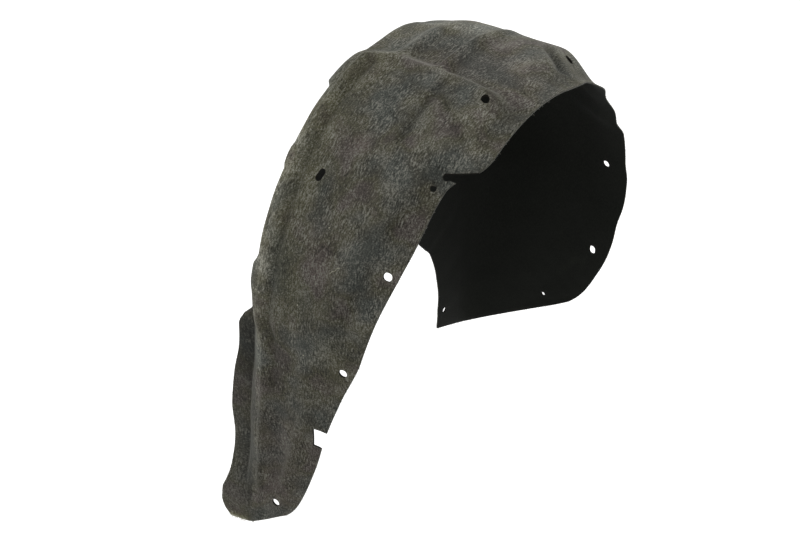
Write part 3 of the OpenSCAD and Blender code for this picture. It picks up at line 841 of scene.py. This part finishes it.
def feltMaterial():
    # needle-punched polyester felt, hot pressed: matt, heathered, light and dark fibres
    # lying one way in each patch, with a painted highlight on pressed creases and painted shade in
    # hollows
    look = feltLook
    mat, tree = newMaterial("greyNeedlePunchedFelt")
    uv = addNode(tree, "UVMap", uv_map="feltRun")
    run, bendHighlightShade, lightAndMarks = [mapParts(tree, name) for name in ("feltRun", "bendHighlightShadeMap", "paintedLightAndMarksMap")]
    # fibres curl: the coordinates wander by a few millimetres
    curl = addNode(tree, "TexNoise", {"Scale": 1 / (look["curl"] * mm), "Detail": 2.0},
                   {"Vector": uv}, noise_dimensions="2D")
    centred = addNode(tree, "VectorMath", {1: (0.5, 0.5, 0.5)}, {0: curl.outputs["Color"]},
                      operation="SUBTRACT")
    scaled = addNode(tree, "VectorMath", {"Scale": look["curlReach"] * mm}, {0: centred},
                     operation="SCALE")
    wandered = addNode(tree, "VectorMath", links={0: uv, 1: scaled}, operation="ADD")
    # each lean of the fibres shows where its own slow noise is high; on the leg most fibres
    # run down it, and over the crown slantwise
    legShare = addNode(tree, "MapRange", dict(zip(rangeSockets, look["legRange"])),
                       {"Value": run["X"]})
    crownShare = addNode(tree, "Math", {0: look["shareSum"]}, {1: legShare}, operation="SUBTRACT")
    shade = None
    for k, (angle, share) in enumerate(zip(look["leans"], (legShare, crownShare, None, None))):
        moved = addNode(tree, "Mapping", {"Location": (k * 3.1, k * 1.7, 0)}, {"Vector": uv})
        lean = addNode(tree, "TexNoise", {"Scale": 1 / (look["patch"] * mm), "Detail": 1.0},
                       {"Vector": moved}, noise_dimensions="2D")
        weight = addNode(tree, "MapRange", dict(zip(rangeSockets, look["leanRange"])),
                         {"Value": lean})
        strokes = fibreLayer(tree, wandered, angle, look, 2.3 * k)
        swing = addNode(tree, "Math", {1: 0.5}, {0: strokes}, operation="SUBTRACT")
        shown = addNode(tree, "Math", links={0: swing, 1: weight}, operation="MULTIPLY")
        if share is not None:
            shown = addNode(tree, "Math", links={0: shown, 1: share}, operation="MULTIPLY")
        shade = shown if shade is None else addNode(
            tree, "Math", links={0: shade, 1: shown}, operation="ADD")
    # the grain, then the areas where the web was laid thicker or thinner
    layers = []
    for size, weight, detail, rough, at in (
            (look["grain"], look["grainWeight"], 2.0, 0.65, wandered),
            (look["mottle"], look["mottleWeight"], 3.0, 0.6, uv)):
        noise = addNode(tree, "TexNoise", {"Scale": 1 / (size * mm), "Detail": detail,
                                           "Roughness": rough},
                        {"Vector": at}, noise_dimensions="2D")
        swing = addNode(tree, "Math", {1: 0.5}, {0: noise}, operation="SUBTRACT")
        shade = addNode(tree, "Math", {1: weight}, {0: swing, 2: shade}, operation="MULTIPLY_ADD")
        layers.append((noise, shade))
    tufts, mottle = layers[0][1], layers[1][0]
    light, dark = [addNode(tree, "Math", {1: gain}, {0: shade}, operation="MULTIPLY",
                           use_clamp=True) for gain in (look["contrast"], -look["contrast"])]
    cloud = addNode(tree, "TexNoise",
                    {"Scale": 1 / (look["cloud"] * mm), "Detail": 2.0, "Roughness": 0.5},
                    {"Vector": uv}, noise_dimensions="2D")
    colour = addNode(tree, "ValToRGB", links={"Fac": cloud})
    setStops(colour, look["clouds"])
    first, last = look["bends"]
    # painted highlight on crests and painted shade in hollows, from the bend
    crestHighlightMask, hollowShadeMask = [addNode(tree, "MapRange",
                             {"From Min": sign * first, "From Max": sign * last, "To Max": most},
                             {"Value": bendHighlightShade["X"]})
                     for sign, most in ((1, look["crestHighlight"]), (-1, look["hollowShade"]))]
    # rosy and olive patches of other fibre, then painted shade and painted highlight, with the
    # foot's frayed patch, over all of it
    broken = addNode(tree, "MapRange", dict(zip(rangeSockets, look["brokenRange"])),
                     {"Value": mottle})
    patches = []
    for gain in (look["tintGain"], -look["tintGain"]):
        part = addNode(tree, "Math", {1: gain}, {0: lightAndMarks["Y"]}, operation="MULTIPLY",
                       use_clamp=True)
        patches.append(addNode(tree, "Math", links={0: part, 1: broken}, operation="MULTIPLY",
                               use_clamp=True))
    for mask, code in ((patches[0], look["rose"]), (patches[1], look["olive"]),
                       (dark, look["darkFibre"]), (light, look["lightFibre"]),
                       (crestHighlightMask, look["lightFibre"]), (hollowShadeMask, look["darkFibre"])):
        colour = addNode(tree, "Mix", {mixSecond: hexToLinear(code)}, {0: mask, mixFirst: colour},
                         data_type="RGBA").outputs[mixResult]
    # the painted shade and highlight (and the frayed patch) scale the colour, broken up by the
    # mottle
    paintedLightAndMarkGain = addNode(tree, "Math", {2: 1.0}, {0: lightAndMarks["X"], 1: broken}, operation="MULTIPLY_ADD")
    paintedLightAndMarkGain = addNode(tree, "Math", {1: look["leastLightAndMarkGain"]}, {0: paintedLightAndMarkGain}, operation="MAXIMUM")
    colour = addNode(tree, "VectorMath", links={0: colour, "Scale": paintedLightAndMarkGain}, operation="SCALE")
    closeSurface(tree, look, {"Base Color": colour}, tufts)
    return mat


def blackMaterial():
    # black-dyed face of the felt, pressed smooth against the tool: near black, dull,
    # with a few raised fibres that catch the light
    look = blackLook
    mat, tree = newMaterial("blackPressedFelt")
    uv = addNode(tree, "UVMap", uv_map="feltRun")
    raised = None
    for angle, shift in look["leans"]:
        shown = addNode(tree, "MapRange", dict(zip(rangeSockets, look["raisedRange"])),
                        {"Value": fibreLayer(tree, uv, angle, look, shift)},
                        interpolation_type="SMOOTHSTEP")
        raised = shown if raised is None else addNode(
            tree, "Math", links={0: raised, 1: shown}, operation="MAXIMUM")
    cloud = addNode(tree, "TexNoise", {"Scale": 1 / (look["cloud"] * mm), "Detail": 3.0},
                    {"Vector": uv}, noise_dimensions="2D")
    tone = addNode(tree, "Mix", {mixFirst: hexToLinear(look["bare"]),
                                 mixSecond: hexToLinear(look["base"])},
                   {0: cloud}, data_type="RGBA").outputs[mixResult]
    share = addNode(tree, "Math", {1: look["raisedShare"]}, {0: raised}, operation="MULTIPLY")
    colour = addNode(tree, "Mix", {mixSecond: hexToLinear(look["fibre"])},
                     {0: share, mixFirst: tone}, data_type="RGBA").outputs[mixResult]
    # painted highlight and painted shade on the wheel side
    paintedLightAndMarkGain = addNode(tree, "Math", {1: 1.0}, {0: mapParts(tree, "paintedLightAndMarksMap")["X"]}, operation="ADD")
    colour = addNode(tree, "VectorMath", links={0: colour, "Scale": paintedLightAndMarkGain}, operation="SCALE")
    closeSurface(tree, look, {"Base Color": colour}, raised)
    return mat


def edgeMaterial():
    # die-cut edge of the felt: matted layers with pale fibre ends
    look = edgeLook
    mat, tree = newMaterial("dieCutFeltEdge")
    place = addNode(tree, "TexCoord").outputs["Object"]
    layers = addNode(tree, "TexNoise",
                     {"Scale": 1 / (look["layer"] * mm), "Detail": 3.0, "Roughness": 0.65},
                     {"Vector": place})
    tone = addNode(tree, "ValToRGB", links={"Fac": layers})
    setStops(tone, look["layers"])
    closeSurface(tree, look, {"Base Color": tone}, layers)
    return mat


def fleckedMaterial(name, look, tones):
    # one fibre colour, darker and lighter in flecks
    mat, tree = newMaterial(name)
    place = addNode(tree, "TexCoord").outputs["Object"]
    noise = addNode(tree, "TexNoise",
                    {"Scale": 1 / (look["fleck"] * mm), "Detail": look["detail"]},
                    {"Vector": place})
    tone = addNode(tree, "Mix", {mixFirst: hexToLinear(tones[0]), mixSecond: hexToLinear(tones[1])},
                   {0: noise}, data_type="RGBA").outputs[mixResult]
    closeSurface(tree, look, {"Base Color": tone})
    return mat


# walls of the punched holes: painted shade, near black, so that a hole reads nearly black
# from outside
holeWallShade = fleckedMaterial("punchedHoleWallShade", holeShadeLook, holeShadeLook["tones"])
shell = buildShell("linerFelt")
cutHoles(shell, buildCutter("cutter"), [feltMaterial(), blackMaterial(), edgeMaterial(), holeWallShade])
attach(shell, "root")
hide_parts("liner")
print("liner faces:", len(shell.data.polygons))

# loose fibres along the cut edges, lint and one torn tuft, as short thin tubes

fringe = {
    "seed": 11, "count": 520, "shortest": 1.5, "longest": 5.5, "radius": 0.2,
    "wander": 0.6,           # how far a fibre turns at each third of its length
    "fan": 1.6,              # how far it leans along the edge
    "cutAway": ((-35, -24), (-133, -120)),   # stations where slit and notch take the rim away
    "tuft": 70, "tuftLength": 7.0, "tuftThick": 1.3, "tuftSpan": (352, 398),
    "lint": ((-76.7, 221), (-91.6, 208), (-54.7, 194)), "lintSize": 1.1, "lintLift": 1.2,
    "curled": ((-65.4, 172), (-64.6, 169), (-64.2, 164), (-63.3, 161), (-63.1, 157)),
    "curledSize": 0.4, "curledLift": 0.6,
    # loose polyester fibre and torn wool: matt, lighter and darker along their length
    "tones": {"paleLooseFibre": ("#6f6e66", "#9a998f"), "darkLooseFibre": ("#1c1c18", "#3a3a34"),
              "tornWoolFibre": ("#a3a087", "#d6d4c2")},
    "fleck": 2.5, "detail": 1.0, "finish": (0.8,),
}


def addTube(store, path, radius, slot):
    # three-sided tube along a path, closed at both ends
    pts, faces, slots = store
    path = np.asarray(path, float)
    for k, p in enumerate(path):
        ahead = path[min(k + 1, len(path) - 1)] - path[max(k - 1, 0)]
        side = np.cross(ahead, (0.3, 0.5, 0.8))
        side /= np.linalg.norm(side) + 1e-9
        other = np.cross(ahead / (np.linalg.norm(ahead) + 1e-9), side)
        for turn in range(3):
            ang = 2 * math.pi * turn / 3
            pts.append(p + radius * (side * math.cos(ang) + other * math.sin(ang)))
    base = len(pts) - 3 * len(path)
    made = [[base, base + 1, base + 2], [len(pts) - 1, len(pts) - 2, len(pts) - 3]]
    for k in range(len(path) - 1):
        a = base + 3 * k
        made += [[a + i, a + i + 3, a + (i + 1) % 3 + 3, a + (i + 1) % 3] for i in range(3)]
    faces += made
    slots += [slot] * len(made)


def strayPath(start, lead, length):
    # a fibre that leaves along the lead and wanders
    path, heading = [start], lead / np.linalg.norm(lead)
    turn = fringe["wander"]
    for _ in range(3):
        heading = heading + np.array([random.uniform(-turn, turn) for _ in range(3)])
        heading /= np.linalg.norm(heading)
        path.append(path[-1] + heading * length / 3)
    return path


def onFace(a, y, lift):
    return midWall(a, y) + archNormal(a) * (liner["felt"] / 2 + lift)


def buildFringe(name):
    random.seed(fringe["seed"])
    store = ([], [], [])
    ring = ringIndex()
    mid, away = edgeFrame(ring)
    total = np.cumsum(np.linalg.norm(np.roll(mid, -1, axis=0) - mid, axis=1))
    for _ in range(fringe["count"]):
        k = int(np.searchsorted(total, random.random() * total[-1])) % len(ring)
        t = random.random()
        a, onRim = stations[ring[k] // nCols], ring[k] % nCols == 0
        if onRim and any(low < a < high for low, high in fringe["cutAway"]):
            continue
        start = mid[k] * (1 - t) + mid[(k + 1) % len(ring)] * t
        side = np.cross(away[k], normal.reshape(-1, 3)[ring[k]])
        lead = away[k] + side * random.uniform(-fringe["fan"], fringe["fan"])
        length = random.uniform(fringe["shortest"], fringe["longest"])
        addTube(store, strayPath(start, lead, length), fringe["radius"], random.randrange(2))
    # the torn tuft on the foot's lower edge
    low, high = fringe["tuftSpan"]
    edge = outer[0][(outer[0, :, 1] > low) & (outer[0, :, 1] < high)]
    for _ in range(fringe["tuft"]):
        start = edge[random.randrange(len(edge))] + np.array(
            [random.uniform(-1, 0), 0, random.uniform(0, 5)])
        lead = np.array([-0.5, random.uniform(-1.2, 1.2), random.uniform(-0.7, 0.5)])
        addTube(store, strayPath(start, lead, fringe["tuftLength"] * random.uniform(0.4, 1)),
                fringe["radius"] * fringe["tuftThick"], 2)
    # lint on the leg and one pale curled fibre
    for spot in fringe["lint"]:
        p = onFace(*spot, fringe["lintLift"])
        addTube(store, [p, p + np.array([0, 1.2, -0.8])], fringe["lintSize"], 2)
    addTube(store, [onFace(*spot, fringe["curledLift"]) for spot in fringe["curled"]],
            fringe["curledSize"], 2)
    mesh = meshFrom(name, store[0], store[1])
    for words, tones in fringe["tones"].items():
        mesh.materials.append(fleckedMaterial(words, fringe, tones))
    mesh.polygons.foreach_set("material_index", np.array(store[2], np.int32))
    mesh.update()
    return addObject(name, mesh)


looseFibres = buildFringe("looseFibres")
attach(looseFibres, "root")
print("loose fibre faces:", len(looseFibres.data.polygons))

stage = {
    "floorBelow": 0.16, "floorSize": 14.0, "floorColour": "#f4f4f2", "floorGlow": 0.7,
    "world": 0.3,
    # softboxes: power, size and place, each turned to the middle
    "lights": {
        "overhead": (20.0, 2.6, (-0.2, -0.4, 2.3)), "rearSide": (18.0, 2.2, (2.3, 0.0, 0.9)),
        "leftSide": (22.0, 2.2, (-0.6, 2.6, 0.4)), "frontFill": (12.0, 2.2, (-1.8, -1.6, 1.1)),
    },
    "middle": (-0.1, 0.1, -0.4),
    # the photograph's camera, fitted to it: focal length in pixels of its width
    "viewAzimuth": 55.7, "viewElevation": 36.3, "distance": 2500, "target": (-156.7, 160, 64.7),
    "focalPixels": 1494.3, "widthPixels": 800, "sensor": 36, "clip": (0.05, 100),
}


def seenRay(tree):
    # 1 for rays from the camera and through gloss or glass
    path = addNode(tree, "LightPath")
    seen = path.outputs["Is Camera Ray"]
    for ray in ("Is Glossy Ray", "Is Transmission Ray"):
        seen = addNode(tree, "Math", links={0: seen, 1: path.outputs[ray]}, operation="MAXIMUM")
    return seen


def makeFloor():
    # painted floor, dull and nearly white: it adds soft light from below
    low = cadBounds[0].z - stage["floorBelow"]
    h = stage["floorSize"] / 2
    mesh = bpy.data.meshes.new("floor")
    mesh.from_pydata([(-h, -h, low), (h, -h, low), (h, h, low), (-h, h, low)], [], [(0, 1, 2, 3)])
    obj = addObject("floor", mesh)
    mat, tree = newMaterial("paintedFloor")
    paint = addNode(tree, "BsdfDiffuse", {"Color": hexToLinear(stage["floorColour"])})
    lift = addNode(tree, "Math", {1: stage["floorGlow"]}, {0: seenRay(tree)}, operation="MULTIPLY")
    glow = addNode(tree, "Emission", {"Color": (1, 1, 1, 1)}, {"Strength": lift})
    both = addNode(tree, "AddShader", links={0: paint, 1: glow})
    addNode(tree, "OutputMaterial", links={"Surface": both})
    mesh.materials.append(mat)


def aimFrom(obj, place, back):
    # stands an object at a place, looking against a direction
    obj.location = place
    obj.rotation_mode = "QUATERNION"
    obj.rotation_quaternion = (-back).to_track_quat("-Z", "Y")


def softbox(name, power, size, place):
    data = bpy.data.lights.new(name, "AREA")
    data.energy, data.shape, data.size = power, "DISK", size
    aimFrom(addObject(name, data), place, Vector(place) - Vector(stage["middle"]))


def makeWorld():
    world = bpy.data.worlds.new("studio")
    bpy.context.scene.world = world
    world.use_nodes = True
    tree = world.node_tree
    tree.nodes.clear()
    strength = addNode(tree, "MapRange", {"To Min": stage["world"], "To Max": 1.0},
                       {"Value": seenRay(tree)})
    back = addNode(tree, "Background", {"Color": (1, 1, 1, 1)}, {"Strength": strength})
    addNode(tree, "OutputWorld", links={"Surface": back})


def makeCamera():
    a, e = math.radians(stage["viewAzimuth"]), math.radians(stage["viewElevation"])
    back = Vector((-math.sin(a) * math.cos(e), -math.cos(a) * math.cos(e), math.sin(e)))
    target = Vector(toFrame(stage["target"]).tolist())
    data = bpy.data.cameras.new("camera")
    data.sensor_width = stage["sensor"]
    data.lens = stage["focalPixels"] / stage["widthPixels"] * stage["sensor"]
    data.clip_start, data.clip_end = stage["clip"]
    obj = addObject("camera", data)
    aimFrom(obj, target + back * stage["distance"] * mm, back)
    bpy.context.scene.camera = obj


makeFloor()
makeWorld()
for name, (power, size, place) in stage["lights"].items():
    softbox(name, power, size, place)
makeCamera()
bpy.context.scene.view_settings.view_transform = "Standard"
